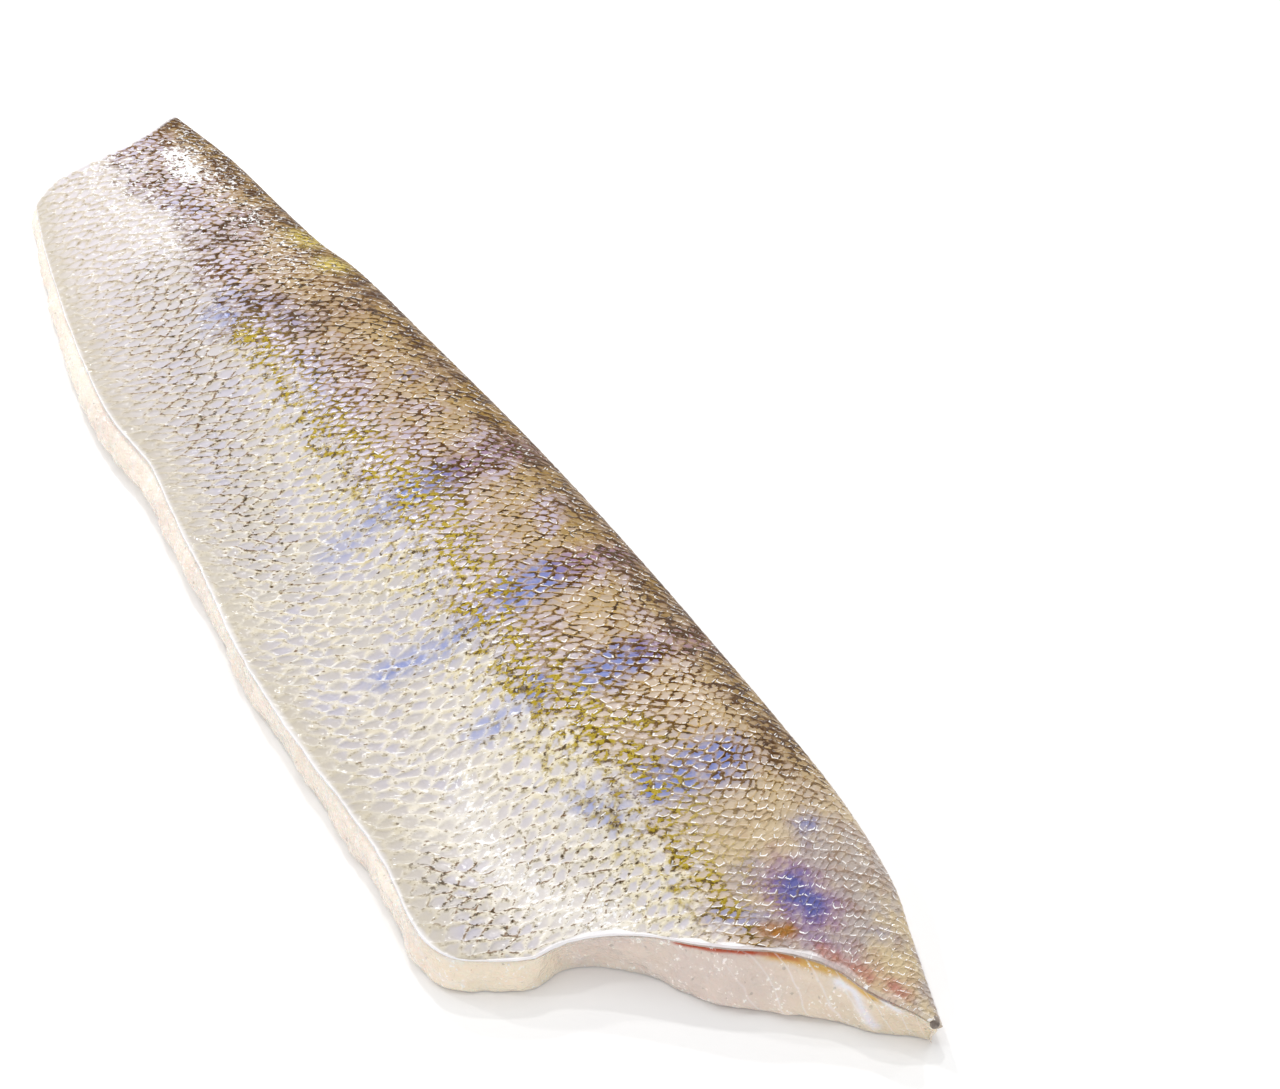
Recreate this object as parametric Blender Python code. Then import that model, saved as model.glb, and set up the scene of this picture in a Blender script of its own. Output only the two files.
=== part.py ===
"""Raw zander fillet with its skin on, lying skin side up, at its real size.

+X points to the head end, +Y to the back of the fish and +Z up. The flesh rests flat on z = 0, and
the origin is the middle of the footprint's bounding box. The flesh is one solid, and the skin is a
thin shell over it, whose edge shows at the cuts.
"""

import math

import bmesh
import bpy
import numpy as np
from mathutils import Vector

MM = 0.001

# Driving dimensions, in millimetres.
LENGTH = 295.0  # tail corner to nape tip
WIDTH = 77.0  # belly flap to the highest line of the back
THICKNESS = 20.5  # flat side to the top of the loin
SKIN_THICKNESS = 0.8
SKIN_GAP = 0.3  # clearance between skin and flesh

# The skin's four edges seen from above, as shares of LENGTH and WIDTH.
BELLY_EDGE = (
    (-0.464, -0.164), (-0.409, -0.228), (-0.335, -0.295), (-0.259, -0.351), (-0.201, -0.375),
    (-0.147, -0.365), (-0.096, -0.392), (-0.022, -0.429), (0.056, -0.469), (0.145, -0.475),
    (0.226, -0.471), (0.280, -0.499), (0.308, -0.490), (0.323, -0.448),
)
BACK_EDGE = (
    (-0.500, 0.344), (-0.425, 0.385), (-0.343, 0.400), (-0.286, 0.415), (-0.238, 0.445),
    (-0.134, 0.465), (-0.005, 0.490), (0.131, 0.499), (0.293, 0.494), (0.356, 0.486),
    (0.408, 0.461), (0.440, 0.420), (0.466, 0.385), (0.500, 0.339),
)
TAIL_CUT = (
    (-0.464, -0.164), (-0.475, -0.082), (-0.475, 0.032), (-0.475, 0.148), (-0.485, 0.260),
    (-0.500, 0.344),
)
HEAD_CUT = (
    (0.323, -0.448), (0.335, -0.384), (0.344, -0.319), (0.346, -0.254), (0.356, -0.176),
    (0.373, -0.089), (0.391, -0.023), (0.406, 0.043), (0.422, 0.127), (0.445, 0.204),
    (0.471, 0.246), (0.500, 0.339),
)

# Heights of the flesh under the skin, as shares of THICKNESS, at even steps from tail to head.
BELLY_HEIGHTS = (0.16, 0.26, 0.32, 0.33, 0.35, 0.36, 0.36)
CROWN_HEIGHTS = (0.38, 0.62, 0.82, 0.92, 0.99, 0.95, 0.54)
BACK_HEIGHTS = (0.24, 0.34, 0.42, 0.43, 0.41, 0.36, 0.16)
CROWN_PLACES = (0.60, 0.60, 0.61, 0.62, 0.62, 0.58, 0.52)  # shares of the way to the back edge
BELLY_ROUNDNESS = 1.1  # 1 rises as a sine from the belly edge, and more starts flatter
SHOULDER_TURN = math.radians(85.0)  # how far the skin turns down over the back

# A shallow hollow runs along the belly flap, behind its corner.
HOLLOW_CENTRE = (0.262, -0.301)  # shares of LENGTH and WIDTH
HOLLOW_REACH = (26.0, 6.0)
HOLLOW_DEPTH = 2.4

# How far the flesh stands out past the skin's edge, at even steps along each edge.
BELLY_BULGES = (1.5, 2.2, 2.8, 3.0, 2.0, 0.9, 0.6, 1.8, 1.2)  # tail to flap corner
BACK_BULGES = (0.8, 0.9, 1.0, 0.9, 0.6)  # tail to nape tip
TAIL_BULGES = (1.5, 1.0, 0.8)  # belly to back
HEAD_BULGES = (1.2, 0.2, -1.4, 0.1, 3.3, 5.2, 4.4, 1.0, -0.6)  # flap corner to nape tip
CORNER_SHARPNESS = 14  # how soon an end's bulge gives way to the sides'

# Rings of the wall from the skin's edge to the flat side: share of the bulge, share of the height.
SIDE_WALL = ((0.55, 0.86), (1.00, 0.55), (0.90, 0.20), (0.45, 0.00))
CUT_WALL = ((0.40, 0.84), (0.80, 0.50), (1.00, 0.16), (0.80, 0.00))

STEPS_ALONG = 50
STEPS_BELLY = 11  # belly edge to crown
STEPS_BACK = 9  # crown to back edge
EDGE_SAMPLES = 400  # points along an edge from which its length is measured
SHARPEST_SMOOTH = math.radians(50)  # edges that turn more than this are shaded sharp

FLESH_COLOUR = (0.80, 0.66, 0.56, 1.0)
SKIN_COLOUR = (0.52, 0.48, 0.42, 1.0)


def spline(stops, place):
    """Value at place (0 to 1) of a smooth curve through evenly spaced stops."""
    stops = np.asarray(stops, float)
    last = len(stops) - 1
    step = min(int(place * last), last - 1)
    share = place * last - step
    before, start, end, after = (stops[min(max(step + k, 0), last)] for k in (-1, 0, 1, 2))
    return start + 0.5 * share * (
        end - before
        + share * (2 * before - 5 * start + 4 * end - after)
        + share**2 * (3 * (start - end) + after - before)
    )


def walk(shares):
    """A function that gives the place on one of the skin's edges, by share of its length."""
    stops = [(x * LENGTH, y * WIDTH) for x, y in shares]
    points = np.array([spline(stops, place) for place in np.linspace(0, 1, EDGE_SAMPLES)])
    steps = np.linalg.norm(np.diff(points, axis=0), axis=1)
    walked = np.concatenate([[0], np.cumsum(steps)]) / steps.sum()
    return lambda place: np.array([np.interp(place, walked, points[:, k]) for k in (0, 1)])


belly_edge, back_edge, tail_cut, head_cut = (
    walk(shares) for shares in (BELLY_EDGE, BACK_EDGE, TAIL_CUT, HEAD_CUT)
)


def plan(along, across):
    """Place seen from above, blended from the four edges."""
    sides = (1 - across) * belly_edge(along) + across * back_edge(along)
    ends = (1 - along) * tail_cut(across) + along * head_cut(across)
    tail = (1 - across) * tail_cut(0) + across * tail_cut(1)
    head = (1 - across) * head_cut(0) + across * head_cut(1)
    return sides + ends - (1 - along) * tail - along * head


def hollow(x, y):
    """Depth of the hollow along the belly flap."""
    away_x = (x - HOLLOW_CENTRE[0] * LENGTH) / HOLLOW_REACH[0]
    away_y = (y - HOLLOW_CENTRE[1] * WIDTH) / HOLLOW_REACH[1]
    return HOLLOW_DEPTH * math.exp(-(away_x**2) - away_y**2)


def surface(along, row):
    """Point of the flesh under the skin, by share of the length and row of the section.

    Returns it with its share of the way across, seen from above.
    """
    belly, crown, back = (
        THICKNESS * spline(heights, along)
        for heights in (BELLY_HEIGHTS, CROWN_HEIGHTS, BACK_HEIGHTS)
    )
    ridge = spline(CROWN_PLACES, along)
    if row <= STEPS_BELLY:
        climb = row / STEPS_BELLY
        across = ridge * climb
        height = belly + (crown - belly) * math.sin(0.5 * math.pi * climb**BELLY_ROUNDNESS)
    else:
        turn = SHOULDER_TURN * (row - STEPS_BELLY) / STEPS_BACK
        across = ridge + (1 - ridge) * math.sin(turn) / math.sin(SHOULDER_TURN)
        height = back + (crown - back) * math.cos(turn)
    x, y = plan(along, across)
    return Vector((x, y, height - hollow(x, y))), across


def top_grid():
    """The flesh's upper face as a grid, with each point's place along and across kept on it."""
    grid = bmesh.new()
    rows = STEPS_BELLY + STEPS_BACK
    bmesh.ops.create_grid(grid, x_segments=STEPS_ALONG, y_segments=rows, size=0.5)
    along = grid.verts.layers.float.new("along")
    across = grid.verts.layers.float.new("across")
    for vert in grid.verts:
        vert[along] = vert.co.x + 0.5
        vert.co, vert[across] = surface(vert[along], round((vert.co.y + 0.5) * rows))
    grid.normal_update()
    return grid


def outward(vert):
    """Level direction in which the rim faces at one of its points."""
    total = Vector((0, 0))
    for edge in (edge for edge in vert.link_edges if edge.is_boundary):
        line = (edge.verts[1].co - edge.verts[0].co).xy
        normal = Vector((line.y, -line.x)).normalized()
        middle = (edge.verts[0].co + edge.verts[1].co).xy / 2
        inside = edge.link_faces[0].calc_center_median().xy
        total += normal if normal.dot(middle - inside) > 0 else -normal
    return total.normalized()


def bulge(along, across):
    """How far the flesh stands out past the rim, and how far that wall is the head cut's (0 to 1)."""
    head = along**CORNER_SHARPNESS
    tail = (1 - along) ** CORNER_SHARPNESS
    side = (1 - across) * spline(BELLY_BULGES, along) + across * spline(BACK_BULGES, along)
    ends = head * spline(HEAD_BULGES, across) + tail * spline(TAIL_BULGES, across)
    return ends + (1 - head - tail) * side, head


def add_wall(grid):
    """Extrudes the rim down to the flat side, ring by ring, and closes it there."""
    layers = grid.verts.layers.float
    rim = [edge for edge in grid.edges if edge.is_boundary]
    shape = {}
    for vert in {vert for edge in rim for vert in edge.verts}:
        size, cut = bulge(vert[layers["along"]], vert[layers["across"]])
        shape[vert] = (vert.co.copy(), outward(vert), size, cut)
    for side_ring, cut_ring in zip(SIDE_WALL, CUT_WALL):
        made = bmesh.ops.extrude_edge_only(grid, edges=rim)["geom"]
        rim = [item for item in made if isinstance(item, bmesh.types.BMEdge) and item.is_boundary]
        lower = {}
        for vert in {vert for edge in rim for vert in edge.verts}:
            above = next(edge.other_vert(vert) for edge in vert.link_edges if not edge.is_boundary)
            edge_point, direction, size, cut = lower[vert] = shape[above]
            out = size * ((1 - cut) * side_ring[0] + cut * cut_ring[0])
            height = edge_point.z * ((1 - cut) * side_ring[1] + cut * cut_ring[1])
            vert.co = (*(edge_point.xy + direction * out), height)
        shape = lower
    bmesh.ops.edgeloop_fill(grid, edges=rim)


def flesh_mesh():
    """The whole body of flesh, closed and facing out."""
    grid = top_grid()
    add_wall(grid)
    bmesh.ops.recalc_face_normals(grid, faces=grid.faces)
    return grid


def skin_mesh():
    """The skin's inner face, clear of the flesh by the gap."""
    grid = top_grid()
    for vert, normal in [(vert, vert.normal.copy()) for vert in grid.verts]:
        vert.co += normal * SKIN_GAP
    return grid


def material(name, colour, roughness):
    made = bpy.data.materials.new(name)
    made.use_nodes = True
    shader = made.node_tree.nodes["Principled BSDF"]
    shader.inputs["Base Color"].default_value = colour
    shader.inputs["Roughness"].default_value = roughness
    shader.inputs["Metallic"].default_value = 0.0
    return made


def add_piece(name, grid, finish):
    """Makes an object of the grid, in metres, shaded smooth."""
    bmesh.ops.scale(grid, vec=(MM, MM, MM), verts=grid.verts)
    mesh = bpy.data.meshes.new(name)
    grid.to_mesh(mesh)
    grid.free()
    mesh.shade_smooth()
    mesh.set_sharp_from_angle(angle=SHARPEST_SMOOTH)
    mesh.materials.append(finish)
    piece = bpy.data.objects.new(name, mesh)
    bpy.context.scene.collection.objects.link(piece)
    return piece


def thicken(piece):
    """Gives the skin its thickness, away from the flesh."""
    shell = piece.modifiers.new("thickness", "SOLIDIFY")
    shell.thickness = SKIN_THICKNESS * MM
    shell.offset = 1.0
    return piece


def centre(pieces):
    """Moves the meshes so that the footprint's bounding box is centred on the origin."""
    bpy.context.view_layer.update()
    graph = bpy.context.evaluated_depsgraph_get()
    corners = [
        Vector(corner) for piece in pieces for corner in piece.evaluated_get(graph).bound_box
    ]
    low, high = (Vector(choose(c[k] for c in corners) for k in range(3)) for choose in (min, max))
    for piece in pieces:
        for vert in piece.data.vertices:
            vert.co.xy -= (low.xy + high.xy) / 2


def main():
    for existing in list(bpy.data.objects):
        bpy.data.objects.remove(existing, do_unlink=True)
    flesh = add_piece("flesh", flesh_mesh(), material("raw flesh", FLESH_COLOUR, 0.35))
    skin = add_piece("skin", skin_mesh(), material("wet skin", SKIN_COLOUR, 0.30))
    centre([flesh, thicken(skin)])


main()
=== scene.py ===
"""Looks of a raw zander fillet that lies skin side up: wet scaled skin over pale flesh.

+X points to the head end, +Y to the back of the fish and +Z up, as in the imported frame. The outline and
the heights are those of the frame's solids, so each piece stands where the solid that it replaces does.
"""

import math
from types import SimpleNamespace

import bmesh
import bpy
import numpy as np
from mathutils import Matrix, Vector, noise


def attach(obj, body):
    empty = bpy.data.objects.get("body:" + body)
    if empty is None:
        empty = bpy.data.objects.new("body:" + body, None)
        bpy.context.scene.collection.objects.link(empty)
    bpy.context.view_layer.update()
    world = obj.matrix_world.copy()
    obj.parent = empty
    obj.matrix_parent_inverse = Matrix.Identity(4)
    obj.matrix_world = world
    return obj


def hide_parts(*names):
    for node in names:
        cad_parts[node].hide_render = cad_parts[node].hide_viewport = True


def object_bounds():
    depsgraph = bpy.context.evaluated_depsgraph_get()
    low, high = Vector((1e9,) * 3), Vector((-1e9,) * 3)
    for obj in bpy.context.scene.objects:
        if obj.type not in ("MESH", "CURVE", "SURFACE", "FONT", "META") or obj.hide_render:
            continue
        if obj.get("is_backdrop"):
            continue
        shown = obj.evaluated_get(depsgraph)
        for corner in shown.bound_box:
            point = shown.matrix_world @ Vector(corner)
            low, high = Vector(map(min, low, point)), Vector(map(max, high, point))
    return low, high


bl_info = {
    "name": "Zander fillet",
    "version": (1, 0, 0),
    "blender": (4, 5, 0),
    "location": "View3D > Sidebar > Fillet",
    "description": "Adds the flesh, the scaled skin and the stage of a raw zander fillet",
    "category": "Add Mesh",
}

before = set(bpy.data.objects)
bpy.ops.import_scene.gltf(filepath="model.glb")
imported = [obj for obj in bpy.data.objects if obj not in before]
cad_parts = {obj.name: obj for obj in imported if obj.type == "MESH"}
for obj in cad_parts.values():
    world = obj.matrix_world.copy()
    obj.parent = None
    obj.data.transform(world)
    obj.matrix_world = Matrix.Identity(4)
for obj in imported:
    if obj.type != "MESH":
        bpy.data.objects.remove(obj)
CAD_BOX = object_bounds()

MM = 0.001

# The solids' driving dimensions, in millimetres.
LENGTH = 295.0
WIDTH = 77.0
THICKNESS = 20.5
SKIN_THICKNESS = 0.8
SKIN_GAP = 0.3
FOOTPRINT_SHIFT = (0.206, 0.134)  # brings the middle of the footprint to the origin

BELLY_EDGE = (
    (-0.464, -0.164), (-0.409, -0.228), (-0.335, -0.295), (-0.259, -0.351), (-0.201, -0.375),
    (-0.147, -0.365), (-0.096, -0.392), (-0.022, -0.429), (0.056, -0.469), (0.145, -0.475),
    (0.226, -0.471), (0.280, -0.499), (0.308, -0.490), (0.323, -0.448),
)
BACK_EDGE = (
    (-0.500, 0.344), (-0.425, 0.385), (-0.343, 0.400), (-0.286, 0.415), (-0.238, 0.445),
    (-0.134, 0.465), (-0.005, 0.490), (0.131, 0.499), (0.293, 0.494), (0.356, 0.486),
    (0.408, 0.461), (0.440, 0.420), (0.466, 0.385), (0.500, 0.339),
)
TAIL_CUT = (
    (-0.464, -0.164), (-0.475, -0.082), (-0.475, 0.032), (-0.475, 0.148), (-0.485, 0.260),
    (-0.500, 0.344),
)
HEAD_CUT = (
    (0.323, -0.448), (0.335, -0.384), (0.344, -0.319), (0.346, -0.254), (0.356, -0.176),
    (0.373, -0.089), (0.391, -0.023), (0.406, 0.043), (0.422, 0.127), (0.445, 0.204),
    (0.471, 0.246), (0.500, 0.339),
)
BELLY_HEIGHTS = (0.16, 0.26, 0.32, 0.33, 0.35, 0.36, 0.36)
CROWN_HEIGHTS = (0.38, 0.62, 0.82, 0.92, 0.99, 0.95, 0.54)
BACK_HEIGHTS = (0.24, 0.34, 0.42, 0.43, 0.41, 0.36, 0.16)
CROWN_PLACES = (0.60, 0.60, 0.61, 0.62, 0.62, 0.58, 0.52)
CROWN_ROW = 0.55  # share of the rows that lie between the belly edge and the crown
BELLY_ROUNDNESS = 1.1
SHOULDER_TURN = math.radians(85.0)
HOLLOW_CENTRE = (0.262, -0.301)
HOLLOW_REACH = (26.0, 6.0)
HOLLOW_DEPTH = 2.4
BELLY_BULGES = (1.5, 2.2, 2.8, 3.0, 2.0, 0.9, 0.6, 1.8, 1.2)
BACK_BULGES = (0.8, 0.9, 1.0, 0.9, 0.6)
TAIL_BULGES = (1.5, 1.0, 0.8)
HEAD_BULGES = (1.2, 0.2, -1.4, 0.1, 3.3, 5.2, 4.4, 1.0, -0.6)
CORNER_SHARPNESS = 14
# From the flat side up to the skin's edge: share of the bulge, share of the height.
SIDE_WALL = ((0.45, 0.00), (0.90, 0.20), (1.00, 0.55), (0.55, 0.86), (0.00, 1.00))
CUT_WALL = ((0.80, 0.00), (1.00, 0.16), (0.80, 0.50), (0.40, 0.84), (0.00, 1.00))
EDGE_SAMPLES = 400
ON_EDGE = 1e-6  # how near 0 or 1 a place counts as on the block's edge

# Scale pockets on the flank by place along the fish: their length and half their height, in millimetres.
POCKET_LENGTHS = ((-150, 3.1), (-60, 3.1), (-20, 2.9), (30, 3.1), (90, 2.8), (118, 2.4), (148, 1.8))
POCKET_HALF_HEIGHTS = (
    (-150, 2.1), (-110, 2.3), (-70, 2.8), (-20, 2.5), (30, 2.8), (90, 2.8), (118, 2.5), (148, 2.0),
)
POCKET_UNEVENNESS = 0.56
LATERAL_LINE = 6.0  # y of the line that the pocket rows close in on, in millimetres
# How far a row of pockets leans towards the head end on its way up, by place along the fish: on the flank,
# along the middle and on the back.
FLANK_LEANS = ((-150, 0.20), (-70, 0.37), (-20, 0.50), (30, 0.40), (62, 0.18), (95, -0.12), (150, -0.12))
MIDDLE_LEANS = ((-150, 0.10), (0, 0.05), (40, -0.20), (150, -0.20))
BACK_LEANS = ((-150, 0.00), (-10, 0.12), (60, 0.08), (95, 0.05), (150, 0.05))
BACK_FINENESS = 1.35  # pockets on the back to one on the flank, along a row

# Colour bands and spots on the skin, with the painted highlights of glint and sheen: points (x, y) in
# millimetres, then half the width and the strength.
SKIN_MARKS = {
    "blue": (
        ((-67, 1), 6.0, 0.65), ((-54, 14), (-62, 8), 4.0, 0.4), ((3, 14), (4, 3), 4.5, 0.85),
        ((5, 1), (6.5, -12), 4.5, 0.55), ((37, 17), (38.5, 9), 5.0, 0.95),
        ((39, 3), (40, -6), (37.5, -18), 4.0, 0.66), ((62.5, 20), (63, 11), 5.0, 0.9),
        ((58.3, 3.4), 2.4, 1.0), ((61, 1), (60.5, -10), 3.4, 0.75), ((89, 22), (88, 9), 6.0, 0.85),
        ((88.5, 0), (84, -3), 5.5, 0.6), ((107.5, 27), 4.0, 0.5), ((116, 18.5), (120, 19), 3.6, 1.0),
        ((122, 16), (128, 18), 3.0, 0.3), ((118, 10), (114.5, 4.5), 3.0, 0.6), ((130, 27), 3.0, 0.4),
        ((-28, 24), 4.0, 0.45), ((-44, 9), (-30, 6), 4.0, 0.4), ((-72, 6), (-60, 12), 5.0, 0.4),
        ((-112, 10), (-104, 14), 4.0, 0.3),
    ),
    "brown": (
        ((-128, 20), (-124, 12), 5.0, 0.65), ((120, 10), 3.5, 0.8), ((-97, 29), (-93, 13), 6.0, 0.8),
        ((-57, 32), (-54, 13), (-66, 9), 6.0, 0.8), ((-28, 30), 4.5, 0.75), ((1, 35), (3, 12), 5.5, 0.95),
        ((36, 34), (38, 15), 4.0, 0.65), ((62, 35), (62, 13), 4.0, 0.75), ((90, 34), (90, 20), 4.0, 0.35),
        ((119, 24), (117, 12), 3.5, 0.3),
    ),
    "net": (
        ((-22, 3), (10, 7), (27, 5), (46, 2), (64, 3.5), (78, 8), (102, 8.5), (113, 12), 7.0, 1.0),
        ((-58, 3), (-33, 2), (-22, 3), 6.0, 0.72), ((-30, 0), (20, 1), (60, -2), (105, 3), 11.5, 0.47),
    ),
    "yellow": (((-86, 28.5), (-83, 29), 3.5, 0.85), ((-72, 29), 4.0, 0.95)),
    "orange": (((119.8, 9.4), (122.2, 13.2), 1.7, 0.95),),
    "purple": (
        ((115, 18), (121, 19), 6.0, 0.95), ((124, 15), (131, 19), 4.0, 0.55),
        ((1, 33), (3, 18), 5.0, 0.6), ((62, 34), (62, 24), 4.5, 0.55), ((36, 33), (37, 22), 4.5, 0.6),
        ((-96, 22), 5.0, 0.35), ((-53, 24), 5.0, 0.3),
    ),
    "red": (
        ((129, 16), (136, 20), 2.6, 0.75), ((140, 22.5), 3.0, 0.8), ((3, 30), 2.5, 0.35),
        ((-124, 9), 3.0, 0.35),
    ),
    "flecks": (
        ((-90, -2), (-60, -9), (-30, -15), (-5, -20), 9.0, 0.85), ((0, -21), (10, -20), 5.0, 0.65),
        ((78, -31), (94, -27), 6.5, 1.0), ((79, -36), 4.0, 0.8), ((85, -14), (100, -8), 8.0, 0.6),
        ((-20, 0), (100, 4), 14.0, 0.42),
    ),
    # Painted highlights: where the skin gets painted white glint patches and sparkles, and how many.
    "glint": (
        ((-130, 20), (-119, 18), 5.5, 1.0), ((-138, 25), 4.0, 0.55), ((-138, 6), (-100, 2), 14.0, 0.52),
        ((-135, 24), (-72, 21), 9.0, 0.5), ((-80, 2), (60, 0), 14.0, 0.26),
        ((64, -17), (83, -20), (94, -18), (106, -9), 4.5, 0.6),
    ),
    # Painted highlight: a soft white wash near the belly flap and over the flank by the head.
    "sheen": (
        ((70, -20), (84, -20), (95, -17), (104, -12), 4.5, 0.55), ((60, -8), (90, -6), 12.0, 0.15),
    ),
}
TAIL_CORNER = (((-142, 28), (-126, 29), 6.0, 0.9),)

# Marks on the head cut's wall: places in hundredths of the cut's length and tenths of its height, then as
# above.
CUT_MARKS = {
    "blood": (((47, 10.2), (54, 9.9), (60, 9.7), 1.3, 1.0), ((60, 9.7), (65, 9.4), 1.4, 0.75)),
    "fat": (((63, 9.6), (71, 9.3), (79, 9.2), 1.6, 0.95), ((70, 9.0), (79, 8.8), 1.6, 0.8)),
    "tissue": (
        ((72.6, 8.1), (75.4, 8.3), (78.2, 5.2), (80.2, 3.2), 0.9, 0.95),
        ((81.2, 10), (84.7, 8), 0.9, 0.8),
    ),
}

# The mustard net, where the flank gives way to the back: x and y in millimetres.
NET_LINE = (
    (-150, 6), (-125, 5), (-108, 7), (-90, 6), (-72, 0.5), (-58, 1), (-33, 1), (-2, 1.5), (12, 3), (46, 1),
    (64, 3), (78, 6.5), (102, 8.5), (114, 6), (150, 6),
)

MIDLINE = 6.0  # y of the groove along the flat side, in millimetres
SEAM_STEP = 6.5  # distance between muscle seams along the fish, in millimetres

SECTION_LENGTH = 95.0  # from edge to edge over the skin, in millimetres
CUT_TO_CUT = 290.0  # from the tail cut to the head cut, in millimetres
BACK_RISE = 34.0  # millimetres above the net line at which the back is darkest
SKIN_RAGGEDNESS = 0.35  # how unevenly the skin's edges are cut, in millimetres
SIDE_FADE, HEAD_FADE = 30, 80  # how fast the raggedness dies away from the long edges and from the head cut
HEAD_LIFT = 0.5  # how far the skin stands off the flesh at the head cut, in millimetres
RIM_BULGE = 0.18  # how far the skin's cut edge stands out halfway up, in millimetres

# Even steps of each block: along the fish, across it and from bottom to top. Steps after the first split
# those before them again.
FLESH_STEPS = ((20, 11), (60,), (12,))
SKIN_STEPS = ((12, 12), (26,), (2,))
SMOOTH_ANGLE = math.radians(60)


def tint(red, green, blue):
    """A colour for Blender from the 0 to 255 values that a screen shows."""
    shares = (value / 255 for value in (red, green, blue))
    return (*(c / 12.92 if c <= 0.04045 else ((c + 0.055) / 1.055) ** 2.4 for c in shares), 1.0)


def colour_setting(name, description, *levels):
    """A colour whose default is given by its levels from 0 to 255."""
    return bpy.props.FloatVectorProperty(
        name=name, description=description, subtype="COLOR", size=4, min=0, max=1, default=tint(*levels)
    )


def length_setting(name, description, default, least, most):
    """A length that is given here in millimetres."""
    return bpy.props.FloatProperty(
        name=name, description=description, default=default * MM, min=least * MM, max=most * MM,
        subtype="DISTANCE", precision=5,
    )


# ---- the fillet's form


def spline(stops, places):
    """Values at places (0 to 1) of a smooth curve through evenly spaced stops."""
    stops = np.asarray(stops, float)
    last = len(stops) - 1
    places = np.clip(places, 0, 1) * last
    step = np.minimum(places.astype(int), last - 1)
    share = places - step
    before, start, end, after = (stops[np.clip(step + k, 0, last)] for k in (-1, 0, 1, 2))
    if stops.ndim > 1:
        share = share[..., None]
    return start + 0.5 * share * (
        end - before
        + share * (2 * before - 5 * start + 4 * end - after)
        + share**2 * (3 * (start - end) + after - before)
    )


def walk(shares):
    """A function that gives places on one of the skin's edges, by share of its length."""
    points = spline(np.array(shares) * (LENGTH, WIDTH), np.linspace(0, 1, EDGE_SAMPLES))
    steps = np.linalg.norm(np.diff(points, axis=0), axis=1)
    walked = np.concatenate([[0], np.cumsum(steps)]) / steps.sum()
    return lambda place: np.stack([np.interp(place, walked, points[:, k]) for k in (0, 1)], -1)


belly_edge, back_edge, tail_cut, head_cut = (
    walk(shares) for shares in (BELLY_EDGE, BACK_EDGE, TAIL_CUT, HEAD_CUT)
)


def coons(along, across, belly, back, tail, head):
    """Blends the values on the four edges over the whole patch; tail and head hold their corners too."""
    along, across = along[..., None], across[..., None]
    sides = (1 - across) * belly + across * back
    ends = (1 - along) * tail[0] + along * head[0]
    tail_line = (1 - across) * tail[1] + across * tail[2]
    head_line = (1 - across) * head[1] + across * head[2]
    return sides + ends - (1 - along) * tail_line - along * head_line


def plan(along, across):
    """Places seen from above, blended from the four edges."""
    return coons(
        along, across, belly_edge(along), back_edge(along),
        (tail_cut(across), tail_cut(0.0), tail_cut(1.0)),
        (head_cut(across), head_cut(0.0), head_cut(1.0)),
    )


def hollow(places):
    """Depth of the hollow along the belly flap."""
    away = (places - np.multiply(HOLLOW_CENTRE, (LENGTH, WIDTH))) / HOLLOW_REACH
    return HOLLOW_DEPTH * np.exp(-(away**2).sum(-1))


def shoulder_turn(row):
    """How far the section has turned down over the back at a row."""
    return SHOULDER_TURN * np.clip((row - CROWN_ROW) / (1 - CROWN_ROW), 0, 1)


def across_of(along, row):
    """Share of the way from the belly edge to the back edge, seen from above, of a row of the section."""
    ridge = spline(CROWN_PLACES, along)
    turned = np.sin(shoulder_turn(row)) / math.sin(SHOULDER_TURN)
    return np.where(row > CROWN_ROW, ridge + (1 - ridge) * turned, ridge * row / CROWN_ROW)


def flesh_top(along, row):
    """The flesh under the skin, by share of the length and of the section's rows."""
    belly, crown, back = (
        THICKNESS * spline(heights, along) for heights in (BELLY_HEIGHTS, CROWN_HEIGHTS, BACK_HEIGHTS)
    )
    climb = np.clip(row / CROWN_ROW, 0, 1)
    height = np.where(
        row > CROWN_ROW,
        back + (crown - back) * np.cos(shoulder_turn(row)),
        belly + (crown - belly) * np.sin(0.5 * math.pi * climb**BELLY_ROUNDNESS),
    )
    places = plan(along, across_of(along, row))
    return np.concatenate([places + FOOTPRINT_SHIFT, (height - hollow(places))[..., None]], -1)


def unit(vectors):
    """The vectors at length 1."""
    return vectors / np.maximum(np.linalg.norm(vectors, axis=-1, keepdims=True), 1e-9)


def facing(along, row):
    """Directions in which the flesh under the skin faces."""
    step = 0.002
    along_way = flesh_top(along + step, row) - flesh_top(along - step, row)
    row_way = flesh_top(along, np.minimum(row + step, 1)) - flesh_top(along, np.maximum(row - step, 0))
    return unit(np.cross(along_way, row_way))


def rim_directions():
    """For each edge, a function that gives the level direction in which it faces."""
    side, end, reach = 300, 80, 3
    long_way = np.linspace(0, 1, side, endpoint=False)
    short_way = np.linspace(0, 1, end, endpoint=False)
    along = np.concatenate([long_way, np.ones(end), 1 - long_way, np.zeros(end)])
    row = np.concatenate([np.zeros(side), short_way, np.ones(side), 1 - short_way])
    points = plan(along, across_of(along, row))
    line = np.roll(points, -reach, 0) - np.roll(points, reach, 0)
    out = unit(np.stack([line[:, 1], -line[:, 0]], -1))
    out = np.concatenate([out, out[:1]])
    corners = np.cumsum([0, side, end, side, end])
    pieces = [out[start : stop + 1] for start, stop in zip(corners[:-1], corners[1:])]
    pieces[2], pieces[3] = pieces[2][::-1], pieces[3][::-1]

    def direction(stops):
        spots = np.linspace(0, 1, len(stops))
        return lambda place: unit(np.stack([np.interp(place, spots, stops[:, k]) for k in (0, 1)], -1))

    return [direction(stops) for stops in pieces]


belly_out, head_out, back_out, tail_out = rim_directions()


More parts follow.
